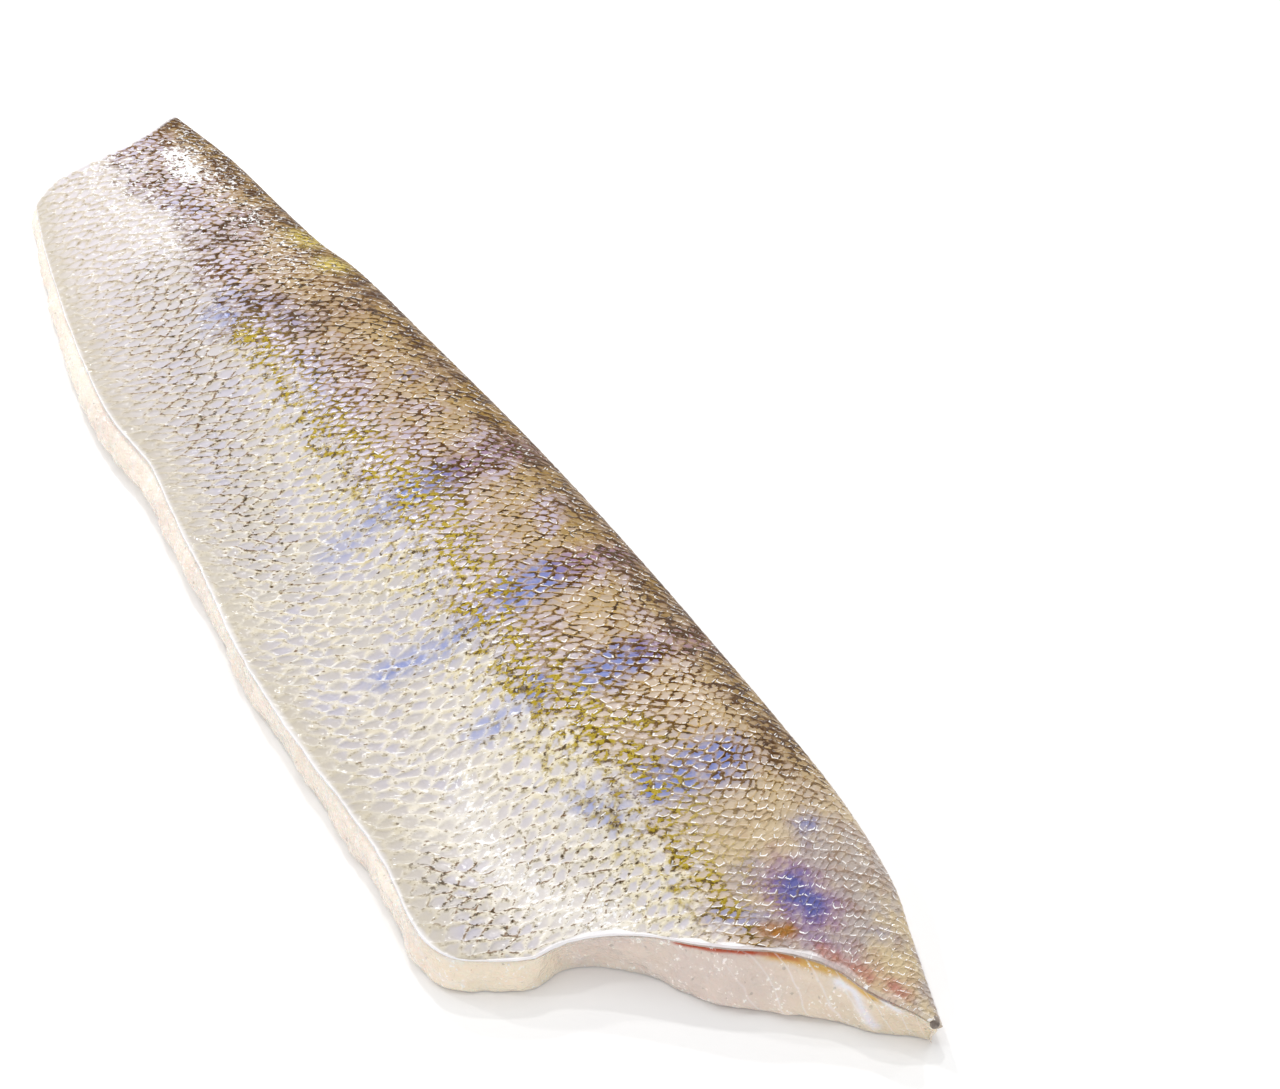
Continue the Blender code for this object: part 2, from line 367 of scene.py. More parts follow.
def edge_directions(along, row, reach):
    """Level direction out of the patch at its edges, within reach of the long ones, and 0 inside."""
    out = np.zeros((len(along), 2))
    for mask, direction, place in (
        (row < reach, belly_out, along), (row > 1 - reach, back_out, along),
        (along < ON_EDGE, tail_out, row), (along > 1 - ON_EDGE, head_out, row),
    ):
        out[mask] = direction(place[mask])
    return out


def wall_ring(along, across, height):
    """Bulge of the wall in millimetres and its height share, by the height share of the block."""
    head = along**CORNER_SHARPNESS
    tail = (1 - along) ** CORNER_SHARPNESS
    side = (1 - across) * spline(BELLY_BULGES, along) + across * spline(BACK_BULGES, along)
    ends = head * spline(HEAD_BULGES, across) + tail * spline(TAIL_BULGES, across)
    size = ends + (1 - head - tail) * side
    side_ring, cut_ring = spline(SIDE_WALL, height), spline(CUT_WALL, height)
    ring = (1 - head[..., None]) * side_ring + head[..., None] * cut_ring
    return size * ring[..., 0], ring[..., 1]


def wall_push(along, row, height):
    """How far the flesh stands out past the skin's edge, blended over the whole level."""
    across = across_of(along, row)
    zero, one = np.zeros_like(along), np.ones_like(along)

    def push(direction, at_along, at_row, place):
        size, _ = wall_ring(at_along, across_of(at_along, at_row), height)
        return direction(place) * size[..., None]

    return coons(
        along, across,
        push(belly_out, along, zero, along), push(back_out, along, one, along),
        [push(tail_out, zero, r, r) for r in (row, zero, one)],
        [push(head_out, one, r, r) for r in (row, zero, one)],
    )


def wobble(points, size, seed):
    """Smooth noise from -1 to 1 whose waves are about size millimetres long."""
    away = Vector((17.3 * seed, -9.1 * seed, 5.7 * seed))
    return np.array([noise.noise(Vector(point) / size + away) for point in points])


# ---- meshes


def add_block(name, cuts, is_fine, fine_cuts):
    """A block from 0 to 1 each way, cut into even steps, and finer where is_fine holds for a face."""
    bpy.ops.object.select_all(action="DESELECT")
    bpy.ops.mesh.primitive_cube_add(size=1, location=(0.5, 0.5, 0.5))
    piece = bpy.context.active_object
    piece.name = piece.data.name = name
    bpy.ops.object.transform_apply(location=True, rotation=True, scale=True)
    bpy.ops.object.mode_set(mode="EDIT")
    bpy.ops.mesh.select_mode(type="EDGE")
    for axis, steps in enumerate(cuts):
        for step in steps:
            bpy.ops.mesh.select_all(action="DESELECT")
            grid = bmesh.from_edit_mesh(piece.data)
            for edge in grid.edges:
                line = edge.verts[1].co - edge.verts[0].co
                edge.select_set(abs(line[axis]) > 0.999 * line.length)
            bmesh.update_edit_mesh(piece.data)
            bpy.ops.mesh.subdivide(number_cuts=step - 1)
    bpy.ops.mesh.select_mode(type="FACE")
    bpy.ops.mesh.select_all(action="DESELECT")
    grid = bmesh.from_edit_mesh(piece.data)
    for face in grid.faces:
        face.select_set(is_fine(face))
    bmesh.update_edit_mesh(piece.data)
    bpy.ops.mesh.subdivide(number_cuts=fine_cuts)
    bpy.ops.object.mode_set(mode="OBJECT")
    return piece


def points_of(piece):
    points = np.empty(len(piece.data.vertices) * 3, np.float32)
    piece.data.vertices.foreach_get("co", points)
    return points.reshape(-1, 3).astype(float)


def move_points(piece, points):
    """Puts the vertices at these places, given in millimetres."""
    piece.data.vertices.foreach_set("co", (points * MM).astype(np.float32).ravel())
    piece.data.update()


def keep(piece, masks):
    """Keeps values or vectors for each vertex, by name, for node trees to read."""
    for name, values in masks.items():
        values = np.asarray(values, np.float32)
        kind, field = ("FLOAT", "value") if values.ndim == 1 else ("FLOAT_VECTOR", "vector")
        layer = piece.data.attributes.new(name, kind, "POINT")
        layer.data.foreach_set(field, values.ravel())


def finish_piece(piece, node, material):
    """Applies the piece's modifiers, shades it, gives it its material and ties it to the frame."""
    bpy.ops.object.select_all(action="DESELECT")
    piece.select_set(True)
    bpy.context.view_layer.objects.active = piece
    for modifier in list(piece.modifiers):
        bpy.ops.object.modifier_apply(modifier=modifier.name)
    bpy.ops.object.shade_smooth_by_angle(angle=SMOOTH_ANGLE)
    piece.data.materials.clear()
    piece.data.materials.append(material)
    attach(piece, "root")
    if node:
        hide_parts(node)


def bands(places, table):
    """Strength at each place (x, y) of soft bands, each drawn through its points."""
    total = np.zeros(len(places))
    for *stops, half_width, strength in table:
        stops = np.array(stops, float)
        ends = list(zip(stops[:-1], stops[1:])) or [(stops[0], stops[0])]
        away = np.full(len(places), np.inf)
        for start, stop in ends:
            line = stop - start
            share = np.clip((places - start) @ line / max(line @ line, 1e-9), 0, 1)
            away = np.minimum(away, np.linalg.norm(places - start - share[:, None] * line, axis=1))
        total = np.maximum(total, strength * np.exp(-((away / half_width) ** 2)))
    return total


def step_up(values, low, high):
    """Rises smoothly from 0 at low to 1 at high."""
    share = np.clip((values - low) / (high - low), 0, 1)
    return share * share * (3 - 2 * share)


# ---- node trees


class Nodes:
    """A node tree, with short ways to add nodes and to link them."""

    def __init__(self, tree):
        self.tree = tree

    def feed(self, socket, value):
        if isinstance(value, bpy.types.NodeSocket):
            self.tree.links.new(value, socket)
        else:
            socket.default_value = value

    def add(self, kind, inputs=None, **settings):
        node = self.tree.nodes.new(kind)
        for name, value in settings.items():
            setattr(node, name, value)
        for key, value in (inputs or {}).items():
            self.feed(node.inputs[key], value)
        return node

    def math(self, operation, *values, clamp=False):
        node = self.add("ShaderNodeMath", dict(enumerate(values)), operation=operation, use_clamp=clamp)
        return node.outputs[0]

    def times(self, first, *others):
        """The values' product."""
        for other in others:
            first = self.math("MULTIPLY", first, other)
        return first

    def weigh(self, start, *terms):
        """The start plus each value times its weight."""
        for value, weight in terms:
            start = self.math("MULTIPLY_ADD", value, weight, start)
        return start

    def vector(self, operation, *values):
        node = self.add("ShaderNodeVectorMath", dict(enumerate(values)), operation=operation)
        return node.outputs[0]

    def fade(self, value, low, high, bottom=0.0, top=1.0):
        """Goes smoothly from bottom to top as value goes from low to high."""
        inputs = {"Value": value, "From Min": low, "From Max": high, "To Min": bottom, "To Max": top}
        return self.add("ShaderNodeMapRange", inputs, interpolation_type="SMOOTHSTEP").outputs[0]

    def between(self, factor, low, high):
        """A value between two others."""
        return self.add("ShaderNodeMix", {0: factor, 2: low, 3: high}, data_type="FLOAT").outputs[0]

    def colour(self, factor, below, above):
        return self.add("ShaderNodeMix", {0: factor, 6: below, 7: above}, data_type="RGBA").outputs[2]

    def layers(self, colour, *rows):
        """Lays colours over the first one, each by the product of the values before it in its row."""
        for *masks, above in rows:
            colour = self.colour(self.times(*masks), colour, above)
        return colour

    def noise(self, vector, scale, detail=2.0, roughness=0.5):
        inputs = {"Vector": vector, "Scale": scale, "Detail": detail, "Roughness": roughness}
        return self.add("ShaderNodeTexNoise", inputs).outputs[0]

    def split(self, vector):
        return self.add("ShaderNodeSeparateXYZ", {0: vector}).outputs

    def kept(self, name, output="Fac"):
        """Reads what was kept for each vertex."""
        return self.add("ShaderNodeAttribute", attribute_name=name).outputs[output]


def finer(nodes, lattice):
    """The lattice of the smaller pockets on the back."""
    return nodes.vector("MULTIPLY_ADD", lattice, (BACK_FINENESS,) * 3, (0.37, 0.61, 0.0))


def pocket_fields(nodes, lattice):
    """Height of scale pockets that are 1 long and wide, and masks that follow their rims."""
    inputs = {"Vector": lattice, "Scale": 1.0, "Randomness": POCKET_UNEVENNESS}
    nearest, edge = (
        nodes.add("ShaderNodeTexVoronoi", inputs, voronoi_dimensions="2D", feature=feature).outputs
        for feature in ("F1", "DISTANCE_TO_EDGE")
    )
    place = nodes.split(nodes.vector("SUBTRACT", lattice, nearest["Position"]))[1]
    tail_side = nodes.fade(place, 0.36, -0.36)
    rounded = nodes.fade(edge["Distance"], 0.0, nodes.between(tail_side, 0.20, 0.50), 1.0, 0.0)
    uneven = nodes.fade(nodes.noise(lattice, 1.7, 2.0, 0.6), 0.30, 0.62, 0.35, 1.0)
    return {
        "Height": nodes.times(rounded, uneven), "Border": edge["Distance"], "Tail side": tail_side,
        "Random": nodes.split(nearest["Color"])[0],
    }


FLOAT, VECTOR = "NodeSocketFloat", "NodeSocketVector"


def shared_group(nodes, name, inputs, outputs, build):
    """Places a shader node group, which build makes the first time by returning what each output gives.

    inputs holds each input's kind and what feeds it here. The outputs are plain values.
    """
    tree = bpy.data.node_groups.get(name)
    if not tree:
        tree = bpy.data.node_groups.new(name, "ShaderNodeTree")
        for key, (kind, _) in inputs.items():
            tree.interface.new_socket(key, in_out="INPUT", socket_type=kind)
        for key in outputs:
            tree.interface.new_socket(key, in_out="OUTPUT", socket_type=FLOAT)
        inside = Nodes(tree)
        inside.add("NodeGroupOutput", build(inside, inside.add("NodeGroupInput").outputs))
    values = {key: value for key, (_, value) in inputs.items()}
    return nodes.add("ShaderNodeGroup", values, node_tree=tree).outputs


def scale_pockets(nodes, lattice):
    """The scale pockets' fields, from the group that the flank and the back share."""
    return shared_group(
        nodes, "Scale pockets", {"Lattice": (VECTOR, lattice)}, ("Height", "Border", "Tail side", "Random"),
        lambda inside, entry: pocket_fields(inside, entry["Lattice"]),
    )


def wet_film(nodes, place, wet, dry):
    """Fine unevenness of a wet surface, which breaks highlights up into points."""

    def build(inside, entry):
        fine = inside.noise(entry["Vector"], 2200.0, 2.0, 0.6)
        patches = inside.fade(inside.noise(entry["Vector"], 160.0, 3.0, 0.6), 0.35, 0.70)
        return {
            "Height": inside.weigh(inside.noise(entry["Vector"], 700.0), (fine, 0.4)),
            "Roughness": inside.between(patches, entry["Wet"], entry["Dry"]),
        }

    inputs = {"Vector": (VECTOR, place), "Wet": (FLOAT, wet), "Dry": (FLOAT, dry)}
    return shared_group(nodes, "Wet film", inputs, ("Height", "Roughness"), build)


def new_material(name):
    """A material, its node tree, its shader and the coordinates of the piece."""
    made = bpy.data.materials.new(name)
    made.use_nodes = True
    nodes = Nodes(made.node_tree)
    place = nodes.add("ShaderNodeTexCoord").outputs["Object"]
    return made, nodes, made.node_tree.nodes["Principled BSDF"], place


def finish_shader(nodes, shader, colour, roughness, height, depth, strength=1.0, **constants):
    """Feeds the shader its colour, its roughness and a bump of this depth, in millimetres."""
    bump = nodes.add("ShaderNodeBump", {"Strength": strength, "Distance": depth * MM, "Height": height})
    for name, value in (("Base Color", colour), ("Roughness", roughness), ("Normal", bump.outputs[0])):
        nodes.feed(shader.inputs[name], value)
    for name, value in constants.items():
        shader.inputs[name.replace("_", " ")].default_value = value


def flank_colour(nodes, settings, pockets, noises, marks):
    """Pale pocket floors and soft cream ridges, with a mustard net, olive strokes, dark dots and painted
    highlights on them.
    """
    soft, mottle, grain, dashes = noises
    border, tail_side = pockets["Border"], pockets["Tail side"]
    floor = nodes.layers(
        nodes.colour(nodes.fade(soft, 0.32, 0.58), settings.pocket_colour, tint(196, 189, 179)),
        (pockets["Random"], 0.25, tint(190, 184, 202)), (marks.net, 0.50, tint(184, 180, 196)),
        (marks.tailwards, 0.6, tint(206, 200, 205)), (marks.tail_end, 0.7, tint(220, 213, 216)),
        (marks.headwards, 0.30, tint(216, 208, 208)),
    )
    yellow = nodes.weigh(1.0, (marks.tailwards, -0.6))
    yellow = nodes.times(yellow, nodes.fade(mottle, 0.34, 0.54, 0.1, 0.95), marks.net)
    ridge = nodes.layers(
        nodes.colour(nodes.fade(mottle, 0.40, 0.62), tint(226, 219, 206), tint(217, 206, 181)),
        (marks.headwards, 0.70, tint(238, 231, 217)), (marks.tailwards, 0.8, tint(198, 184, 166)),
        (yellow, tint(212, 188, 44)),
    )
    reach = nodes.weigh(border, (tail_side, -0.24), (dashes, -0.40), (marks.headwards, -0.09))
    on_ridge = nodes.fade(reach, -0.02, -0.34, 0.0, 0.90)
    head_side = nodes.math("SUBTRACT", 1.0, tail_side)
    # White line on the head side of each flank pocket's rim: partly the white rim tissue, partly a painted
    # highlight.
    white_rim_and_highlight = nodes.times(nodes.fade(border, 0.16, 0.02), head_side, nodes.fade(mottle, 0.46, 0.62, 0.0, 0.75))
    clumps = nodes.times(
        nodes.fade(nodes.weigh(mottle, (marks.net, 0.19)), 0.58, 0.66), nodes.fade(reach, 0.02, -0.20),
        nodes.fade(marks.net, 0.30, 0.80),
    )
    clump = nodes.colour(nodes.fade(grain, 0.46, 0.54), settings.net_colour, tint(118, 94, 32))
    strokes = nodes.weigh(grain, (dashes, 0.7), (marks.flecks, 0.12))
    strokes = nodes.times(nodes.fade(strokes, 0.90, 1.02), nodes.fade(reach, -0.14, -0.34))
    outline = nodes.weigh(dashes, (marks.flecks, 0.16), (marks.tailwards, 0.06))
    outline = nodes.times(nodes.fade(outline, 0.58, 0.68), nodes.fade(border, 0.09, 0.03))
    dots = nodes.weigh(grain, (dashes, 0.6), (marks.flecks, 0.17), (marks.net, 0.10), (clumps, 0.04))
    dots = nodes.times(nodes.fade(dots, 1.03, 1.09), nodes.fade(border, 0.26, 0.10))
    return nodes.layers(
        nodes.colour(on_ridge, floor, ridge),
        (marks.blue, nodes.between(on_ridge, 1.0, 0.50), settings.blue_colour),
        # The sheen layer is a painted highlight: a soft white wash near the belly flap.
        (white_rim_and_highlight, tint(250, 248, 244)), (marks.sheen, 0.75, tint(240, 235, 229)), (clumps, clump),
        (strokes, 0.60, tint(142, 126, 92)),
        (outline, nodes.between(marks.tail_end, 0.85, 0.30), tint(112, 78, 44)),
        (dots, 0.90, settings.fleck_colour),
    )


def back_colour(nodes, settings, pockets, noises, marks):
    """Lilac to golden pocket floors, darker towards the back edge, inside a broken dark net, with painted
    glints.
    """
    soft, mottle, grain, dashes = noises
    border, tail_side, rise = pockets["Border"], pockets["Tail side"], marks.rise
    nape = nodes.layers(
        nodes.colour(nodes.fade(soft, 0.42, 0.58), tint(200, 180, 144), tint(178, 166, 158)),
        (nodes.fade(mottle, 0.48, 0.62), 0.35, tint(170, 136, 112)),
    )
    washed = nodes.weigh(border, (nodes.math("SUBTRACT", dashes, 0.5), -0.30))
    washed = nodes.times(nodes.fade(washed, 0.26, 0.08), nodes.fade(mottle, 0.38, 0.58, 0.35, 0.95))
    plain = nodes.math("MAXIMUM", nodes.times(marks.nape, 0.8), marks.yellow)
    washed = nodes.math("SUBTRACT", washed, plain, clamp=True)
    floor = nodes.layers(
        nodes.colour(nodes.fade(rise, 0.02, 0.35), tint(194, 188, 204), tint(180, 165, 168)),
        (nodes.fade(rise, 0.36, 0.66), tint(174, 152, 124)),
        (nodes.fade(rise, 0.66, 0.92), tint(154, 124, 62)),
        (nodes.fade(soft, 0.44, 0.60), 0.8, tint(184, 174, 200)),
        (pockets["Random"], 0.35, tint(204, 192, 196)),
        (marks.tailwards, nodes.fade(rise, 0.30, 0.62, 0.0, 0.8), tint(176, 150, 104)),
        (marks.tailwards, nodes.fade(rise, 0.45, 0.20, 0.0, 0.7), tint(198, 188, 204)),
        (marks.headwards, 0.70, tint(200, 180, 152)), (marks.shoulder, 0.85, tint(132, 98, 8)),
        (marks.brown, 0.40, tint(150, 122, 104)), (marks.nape, nape),
        (marks.blue, tint(116, 128, 186)), (marks.purple, tint(146, 112, 146)),
        (marks.purple, marks.blue, tint(92, 92, 154)), (marks.yellow, 0.85, tint(224, 206, 132)),
        (marks.red, tint(178, 124, 108)), (marks.orange, tint(160, 106, 44)),
        (washed, nodes.colour(marks.net, tint(182, 148, 80), tint(205, 183, 112))),
    )
    dark = nodes.math("MAXIMUM", marks.brown, marks.shoulder)
    yellow = nodes.times(marks.net, nodes.fade(mottle, 0.40, 0.50, 0.2, 0.95))
    mustard = nodes.colour(nodes.fade(grain, 0.48, 0.56), settings.net_colour, tint(96, 72, 8))
    lines = nodes.layers(
        nodes.colour(nodes.fade(mottle, 0.42, 0.58), tint(120, 80, 0), tint(56, 32, 0)),
        (nodes.fade(soft, 0.40, 0.60), 0.7, tint(100, 60, 0)), (dark, 0.80, tint(72, 42, 0)),
        (nodes.math("MAXIMUM", yellow, marks.yellow), mustard),
    )
    density = nodes.weigh(
        -5.60, (dashes, 6.4), (mottle, 2.2), (soft, 3.0), (tail_side, 0.90), (marks.brown, 0.55),
        (marks.net, 0.75), (marks.shoulder, 1.10), (marks.tailwards, 0.40), (marks.nape, -0.25),
        (marks.yellow, -0.30),
    )
    line = nodes.fade(nodes.weigh(border, (density, -0.18)), -0.02, -0.08)
    faint = nodes.weigh(1.0, (marks.nape, -0.6))
    faint = nodes.times(faint, nodes.fade(mottle, 0.36, 0.54, 0.45, 1.0))
    # Painted glints: white dashes by the head-side rim of some pockets.
    glints = nodes.times(
        nodes.fade(border, 0.05, 0.10), nodes.fade(border, 0.21, 0.15), nodes.fade(tail_side, 0.50, 0.20),
        nodes.fade(grain, 0.45, 0.53), nodes.fade(pockets["Random"], 0.30, 0.50, 0.20, 1.0),
    )
    return nodes.layers(floor, (line, faint, lines), (glints, tint(252, 251, 250)))


BROKEN_MARKS = ("blue", "brown", "net", "yellow", "orange", "purple", "red", "shoulder", "nape")
PLAIN_MARKS = ("flecks", "tailwards", "tail_end", "headwards", "sheen", "glint", "rim")


def skin_marks(nodes, wander):
    """The skin's kept masks by name, some of them with their outlines broken up."""
    factor = nodes.weigh(1.0, (wander, 2.4))
    marks = {name: nodes.fade(nodes.times(nodes.kept(name), factor), 0.0, 1.0) for name in BROKEN_MARKS}
    marks |= {name: nodes.kept(name) for name in PLAIN_MARKS}
    return SimpleNamespace(**marks, rise=nodes.weigh(nodes.kept("rise"), (wander, 0.5)))


def skin_material(settings):
    """Wet skin: lilac and cream pockets on the flank, a dark net over tan on the back, and painted white
    glints and sparkles.
    """
    made, nodes, shader, place = new_material("wet scaled skin")
    lattice = nodes.kept("scales", "Vector")
    flank, back = (scale_pockets(nodes, grid) for grid in (lattice, finer(nodes, lattice)))
    stretched = nodes.vector("MULTIPLY", lattice, (1.0, 2.6, 1.0))
    noises = (
        nodes.noise(place, 90.0, 3.0, 0.6), nodes.noise(place, 330.0, 3.0, 0.65),
        nodes.noise(place, 1100.0, 2.0, 0.6), nodes.noise(stretched, 1.7, 2.0, 0.6),
    )
    soft, mottle, grain, dashes = noises
    marks = skin_marks(nodes, nodes.math("SUBTRACT", mottle, 0.5))
    patch = nodes.weigh(marks.rise, (nodes.math("SUBTRACT", soft, 0.5), 0.45))
    on_back = nodes.fade(patch, -0.06, 0.20)
    colour = nodes.colour(
        on_back, flank_colour(nodes, settings, flank, noises, marks),
        back_colour(nodes, settings, back, noises, marks),
    )
    # Painted highlights: white glint patches, strongest where the glint bands are.
    wet = nodes.fade(nodes.weigh(0.0, (marks.glint, 0.30), (mottle, 0.4), (grain, 0.9)), 0.88, 0.95)
    crest = nodes.between(on_back, flank["Border"], back["Border"])
    # Painted sparkles: white dots along the pocket rims; on the back only where the glint bands are strong.
    painted_sparkles = nodes.fade(nodes.weigh(dashes, (marks.glint, -0.16)), 0.34, 0.29)
    painted_sparkles = nodes.times(
        painted_sparkles, nodes.fade(crest, 0.34, 0.16),
        nodes.between(on_back, 1.0, nodes.fade(marks.glint, 0.15, 0.40)),
    )
    colour = nodes.layers(
        colour, (nodes.kept("pale"), 0.70, tint(196, 187, 170)),
        (wet, nodes.fade(marks.glint, 0.05, 0.4, 0.0, 0.85), tint(253, 252, 252)),
        (painted_sparkles, 0.95, tint(254, 253, 252)), (marks.rim, tint(246, 244, 247)),
    )
    film = wet_film(nodes, place, 0.09, 0.30)
    rough = nodes.weigh(film["Roughness"], (marks.shoulder, 0.25))
    pockets = nodes.between(on_back, nodes.times(flank["Height"], 0.55), nodes.times(back["Height"], 0.8))
    pockets = nodes.times(pockets, nodes.math("SUBTRACT", 1.0, marks.rim))
    height = nodes.weigh(pockets, (mottle, 0.55), (film["Height"], 0.30))
    finish_shader(nodes, shader, colour, rough, height, 0.20, IOR=1.30)
    return made


def cut_lines(nodes, soft, share, level):
    """Thin pale seams that slant across the head cut."""
    phase = nodes.math("FRACT", nodes.weigh(0.0, (share, 0.22), (level, 0.20), (soft, 1.4)))
    line = nodes.fade(nodes.math("ABSOLUTE", nodes.math("SUBTRACT", phase, 0.5)), 0.07, 0.01)
    return nodes.times(line, nodes.fade(share, 50.0, 66.0, 0.0, 0.45))


def flesh_material(settings):
    """Wet translucent flesh with the marks of the head cut, its fine muscle lines and painted glints."""
    made, nodes, shader, place = new_material("wet raw flesh")
    soft, mottle, grit, speckle = (
        nodes.noise(place, *look)
        for look in ((55.0, 3.0, 0.55), (260.0, 3.0, 0.6), (1400.0, 2.0, 0.6), (900.0, 1.0, 0.5))
    )
    share, level, _ = nodes.split(nodes.kept("cut", "Vector"))
    uneven = nodes.weigh(level, (mottle, 0.8))
    colour = nodes.layers(
        nodes.colour(nodes.fade(soft, 0.35, 0.65), settings.flesh_colour, tint(232, 216, 202)),
        (nodes.fade(mottle, 0.5, 0.75), 0.4, tint(240, 232, 226)),
        (nodes.kept("pale"), tint(246, 234, 220)), (nodes.kept("tan"), tint(245, 229, 208)),
        (nodes.kept("band"), settings.band_colour),
        (nodes.fade(share, 54.0, 84.0), 0.60, tint(236, 218, 184)),
        (nodes.kept("fat"), nodes.fade(uneven, 8.4, 9.4), tint(220, 176, 92)),
        (nodes.kept("blood"), nodes.fade(uneven, 9.1, 9.9), settings.blood_colour),
        (nodes.kept("tissue"), tint(238, 235, 242)), (nodes.kept("seams"), 0.55, tint(246, 240, 236)),
        (cut_lines(nodes, soft, share, level), tint(244, 238, 238)),
        # Painted glints: small white specks on the wet flesh.
        (nodes.fade(grit, 0.57, 0.64), nodes.fade(mottle, 0.47, 0.58, 0.05, 1.0), tint(255, 247, 240)),
        (nodes.fade(speckle, 0.70, 0.76), 0.35, tint(120, 108, 100)),
    )
    film = wet_film(nodes, place, 0.08, 0.26)
    height = nodes.weigh(film["Height"], (grit, 0.8), (mottle, 1.2))
    finish_shader(
        nodes, shader, colour, film["Roughness"], height, 0.27, IOR=1.40, Subsurface_Weight=0.40,
        Subsurface_Radius=(1.0, 0.60, 0.45), Subsurface_Scale=3.0 * MM,
    )
    return made


# ---- flesh


def seam_pattern(points):
    """Curved muscle seams: 1 on a seam, 0 halfway between two."""
    away = np.abs(points[:, 1] - MIDLINE)
    sweep = 0.9 * away - 7.0 * np.exp(-((away / 7.0) ** 2)) + 2.0 * wobble(points, 26.0, 1)
    sweep += 1.6 * points[:, 2]
    phase = (points[:, 0] + sweep) / SEAM_STEP
    return np.exp(-(((phase - np.round(phase)) / 0.10) ** 2))


def flesh_points(block):
    """Places in the flesh of the block's points."""
    along, row, height = block.T
    points = flesh_top(along, row)
    below = height < 1 - ON_EDGE
    _, lift = wall_ring(along[below], across_of(along[below], row[below]), height[below])
    points[below, :2] += wall_push(along[below], row[below], height[below])
    points[below, 2] *= lift
    points[height < ON_EDGE, 2] = 0.0
    return points


def add_flesh_relief(block, points, seams):
    """Lumps and seams on the walls, and the groove and seams of the flat side."""
    along, row, height = block.T
    wall = np.where(height < 0.5, 0.5 + 2 * height * (1 - height), 4 * height * (1 - height))
    lumps = 0.80 * wobble(points, 8.0, 2) + 0.50 * wobble(points, 3.0, 3) + 0.20 * wobble(points, 1.2, 11)
    points[:, :2] += edge_directions(along, row, ON_EDGE) * (wall * (lumps - 0.15 * seams))[:, None]
    inside = step_up(np.minimum(np.minimum(row, 1 - row) * 6, np.minimum(along, 1 - along) * 20), 0, 1)
    groove = 0.9 * np.exp(-(((points[:, 1] - MIDLINE) / 1.6) ** 2))
    carve = groove + 0.30 * seams + 0.25 * (1 + wobble(points, 14.0, 4))
    points[:, 2] += np.where(height < ON_EDGE, inside * carve, 0)


class FleshSettings(bpy.types.PropertyGroup):
    flesh_colour: colour_setting("Flesh", "Colour of the cut flesh", 220, 204, 195)
    band_colour: colour_setting("Red band", "Colour of the dark muscle along the middle", 176, 126, 96)
    blood_colour: colour_setting("Blood line", "Colour of the red line at the head cut", 190, 84, 48)


class ZANDER_OT_add_flesh(bpy.types.Operator):
    """Adds the whole body of flesh under the skin"""

    bl_idname = "zander.add_flesh"
    bl_label = "Add flesh"

    def execute(self, context):
        piece = add_block("fillet_flesh", FLESH_STEPS, lambda face: face.normal.z < 0.5, 1)
        block = points_of(piece)
        points = flesh_points(block)
        seams = seam_pattern(points)
        add_flesh_relief(block, points, seams)
        move_points(piece, points)
        keep(piece, self.masks(block, points, seams))
        finish_piece(piece, "flesh", flesh_material(context.scene.zander_flesh))
        return {"FINISHED"}

    def masks(self, block, points, seams):
        """The walls' tones, the marks of the head cut and the flat side's band and seams."""
        along, row, height = block.T
        belly_wall, head = row < ON_EDGE, along > 1 - ON_EDGE
        near_flap = np.where(head, 1 - step_up(row, 0.18, 0.26), 0)
        flap = np.where(belly_wall, step_up(along, 0.93, 1.0), near_flap)
        patchy = 0.65 + 0.5 * wobble(points, 12.0, 12)
        middle = 0.7 * np.exp(-(((points[:, 1] - MIDLINE) / 9) ** 2))
        cut = np.stack([row * 100, height * 10], -1)
        masks = {name: np.where(head, bands(cut, table), 0) for name, table in CUT_MARKS.items()}
        return masks | {
            "seams": seams * np.where(head, 0, 0.8),
            "cut": np.where(head[:, None], np.column_stack([cut, along]), 0),
            "pale": np.where(belly_wall, patchy * (1 - flap), 0),
            "tan": np.where(belly_wall | head, flap, 0),
            "band": np.where(height < ON_EDGE, middle, 0),
        }


# ---- skin


class SkinSettings(bpy.types.PropertyGroup):
    pocket_depth: length_setting("Pocket depth", "Depth of the scale pockets on the flank", 0.30, 0, 0.5)
    back_depth: length_setting("Back pocket depth", "Depth of the small pockets on the back", 0.12, 0, 0.5)
    pocket_colour: colour_setting("Pocket", "Colour inside the flank's pockets", 188, 184, 194)
    blue_colour: colour_setting("Blue", "Colour of the blue bars on the flank", 138, 148, 196)
    net_colour: colour_setting("Net", "Colour of the mustard net along the middle", 175, 151, 34)
    fleck_colour: colour_setting("Flecks", "Colour of the dark flecks on the flank", 62, 46, 22)


def along_fish(x, table):
    """A value that changes along the fish, from a table of places and values."""
    return np.interp(x, *zip(*table))


def walked_up(along, row):
    """Distance along the section in millimetres, which starts at the belly edge with that edge's y."""
    stops, rows = np.linspace(0, 1, 41), np.linspace(0, 1, 61)
    sections = flesh_top(*np.meshgrid(stops, rows, indexing="ij"))
    walked = np.zeros((len(stops), len(rows)))
    walked[:, 1:] = np.cumsum(np.linalg.norm(np.diff(sections, axis=1), axis=2), axis=1)
    walked += sections[:, :1, 1]
    column = np.clip(along, 0, 1) * (len(stops) - 1)
    line = np.clip(row, 0, 1) * (len(rows) - 1)
    left, low = np.minimum(column.astype(int), len(stops) - 2), np.minimum(line.astype(int), len(rows) - 2)
    share_x, share_y = column - left, line - low
    return sum(
        walked[left + i, low + j] * (share_x if i else 1 - share_x) * (share_y if j else 1 - share_y)
        for i in (0, 1) for j in (0, 1)
    )


